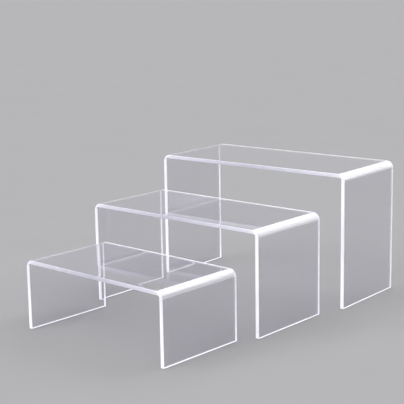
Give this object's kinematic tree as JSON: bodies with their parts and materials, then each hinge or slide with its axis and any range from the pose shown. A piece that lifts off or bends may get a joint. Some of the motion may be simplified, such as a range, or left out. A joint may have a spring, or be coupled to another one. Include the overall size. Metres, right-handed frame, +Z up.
{
  "type": "nesting display riser set",
  "caption": "Set of clear acrylic display stands in graded sizes, each a sheet bent into an open arch with a flat top, nesting under the next.",
  "frame": {"origin": "on the table, at the centre of the footprint of the set as displayed", "axes": "+Z up; +Y from the small riser in front back to the large one; +X to the right across the risers, as seen from in front. The large riser is square to the axes; the medium and small ones are turned 2.5 and 3.8 degrees clockwise seen from above, as they were put down"},
  "size_m": [0.304, 0.4416, 0.18],
  "materials": {
    "clear_acrylic": "clear colourless acrylic sheet, polished faces, flame-polished edges that look bright white"
  },
  "bodies": {
    "riser_large": {"riser_large": "clear_acrylic"},
    "riser_medium": {"riser_medium": "clear_acrylic"},
    "riser_small": {"riser_small": "clear_acrylic"}
  },
  "joints": [
    {"name": "medium_slide", "type": "slide", "parent": "riser_large", "child": "riser_medium", "axis": [0.0251, 0.9997, 0], "range_m": [0, 0.15905]},
    {"name": "small_slide", "type": "slide", "parent": "riser_large", "child": "riser_small", "axis": [0.0196, 0.9998, 0], "range_m": [0, 0.30606]}
  ]
}
